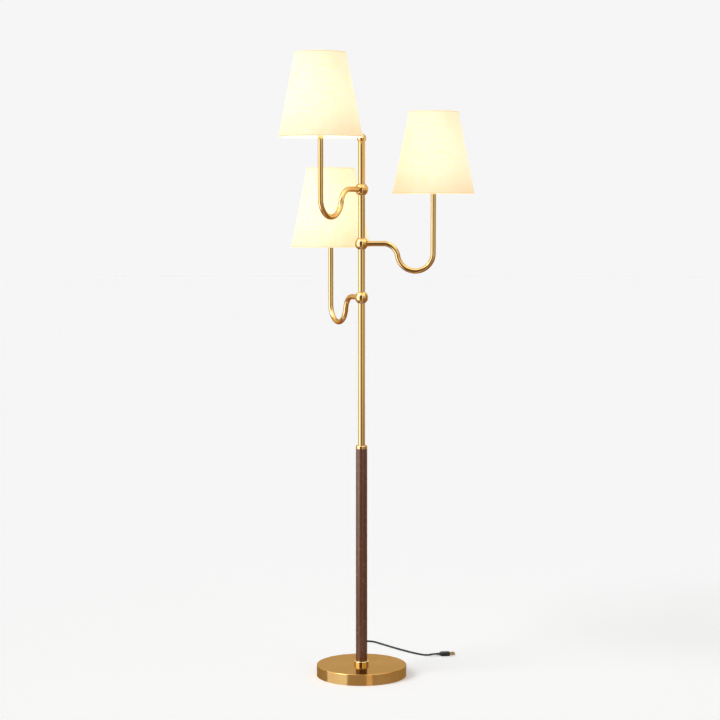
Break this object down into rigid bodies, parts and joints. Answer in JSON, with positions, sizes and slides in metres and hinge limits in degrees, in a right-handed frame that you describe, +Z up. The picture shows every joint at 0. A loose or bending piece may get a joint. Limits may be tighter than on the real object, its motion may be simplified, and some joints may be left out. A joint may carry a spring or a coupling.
{
  "type": "tree floor lamp",
  "caption": "Floor lamp: brass disc foot, leather-wrapped column, slim pole with ball hubs, swivelling arms that carry tapered linen shades, and a mains lead.",
  "frame": {"origin": "centre of the foot on the floor, under the pole", "axes": "+Z up along the pole; +X along the middle arm"},
  "size_m": [0.4988, 0.6586, 1.64],
  "materials": {
    "polished_brass": "polished",
    "cast_weight": "cast",
    "felt": "felt",
    "plated_steel": "zinc plated",
    "slip_washer": "plain",
    "leather": "smooth, waxed",
    "wire_sheath": "plain",
    "cord_sheath": "satin",
    "plug_brass": "plain",
    "black_holder": "moulded",
    "white_wire": "painted",
    "linen": "slubbed weave",
    "bulb_glass": "frosted",
    "bulb_cap": "rolled thread"
  },
  "bodies": {
    "stand": {"base_collar": "polished_brass", "base_cover": "polished_brass", "base_lock_nut": "plated_steel", "base_lock_washer": "plated_steel", "base_pad": "felt", "base_threaded_rod": "plated_steel", "base_weight": "cast_weight", "column_ferrule": "polished_brass", "column_foot_plug": "plated_steel", "column_tube": "plated_steel", "cord_coil": "cord_sheath", "cord_lead": "cord_sheath", "cord_run": "cord_sheath", "cord_strain_relief": "cord_sheath", "finial": "polished_brass", "hub_slip_washers": "slip_washer", "hub_spindles": "plated_steel", "inner_wire": "wire_sheath", "leather_wrap": "leather", "plug_blades": "plug_brass", "plug_body": "cord_sheath", "pole_between_lower_hubs": "polished_brass", "pole_between_upper_hubs": "polished_brass", "pole_foot_bush": "plated_steel", "pole_inserts": "plated_steel", "pole_lower": "polished_brass", "pole_top_piece": "polished_brass"},
    "lower_arm": {"lower_arm_tube": "polished_brass", "lower_arm_wire": "wire_sheath", "lower_bulb_cap": "bulb_cap", "lower_bulb_glass": "bulb_glass", "lower_holder_cup": "polished_brass", "lower_hub_ball": "polished_brass", "lower_lampholder": "black_holder", "lower_shade": "linen", "lower_shade_frame": "white_wire", "lower_shade_ring": "black_holder"},
    "lower_knob": {"lower_switch_knob": "black_holder"},
    "middle_arm": {"middle_arm_tube": "polished_brass", "middle_arm_wire": "wire_sheath", "middle_bulb_cap": "bulb_cap", "middle_bulb_glass": "bulb_glass", "middle_holder_cup": "polished_brass", "middle_hub_ball": "polished_brass", "middle_lampholder": "black_holder", "middle_shade": "linen", "middle_shade_frame": "white_wire", "middle_shade_ring": "black_holder"},
    "middle_knob": {"middle_switch_knob": "black_holder"},
    "upper_arm": {"upper_arm_tube": "polished_brass", "upper_arm_wire": "wire_sheath", "upper_bulb_cap": "bulb_cap", "upper_bulb_glass": "bulb_glass", "upper_holder_cup": "polished_brass", "upper_hub_ball": "polished_brass", "upper_lampholder": "black_holder", "upper_shade": "linen", "upper_shade_frame": "white_wire", "upper_shade_ring": "black_holder"},
    "upper_knob": {"upper_switch_knob": "black_holder"}
  },
  "joints": [
    {"name": "lower_arm_swivel", "type": "hinge", "parent": "stand", "child": "lower_arm", "pos_m": [0, 0, 1.012], "axis": [0, 0, 1], "range_deg": [-25, 25]},
    {"name": "lower_switch_turn", "type": "hinge", "parent": "lower_arm", "child": "lower_knob", "pos_m": [-0.09425, 0.16325, 1.178], "axis": [-0.5, 0.866, 0], "continuous": true},
    {"name": "middle_arm_swivel", "type": "hinge", "parent": "stand", "child": "middle_arm", "pos_m": [0, 0, 1.154], "axis": [0, 0, 1], "range_deg": [-25, 25]},
    {"name": "middle_switch_turn", "type": "hinge", "parent": "middle_arm", "child": "middle_knob", "pos_m": [0.1885, 0, 1.32], "axis": [1, 0, 0], "continuous": true},
    {"name": "upper_arm_swivel", "type": "hinge", "parent": "stand", "child": "upper_arm", "pos_m": [0, 0, 1.296], "axis": [0, 0, 1], "range_deg": [-25, 25]},
    {"name": "upper_switch_turn", "type": "hinge", "parent": "upper_arm", "child": "upper_knob", "pos_m": [-0.09425, -0.16325, 1.462], "axis": [-0.5, -0.866, 0], "continuous": true}
  ]
}
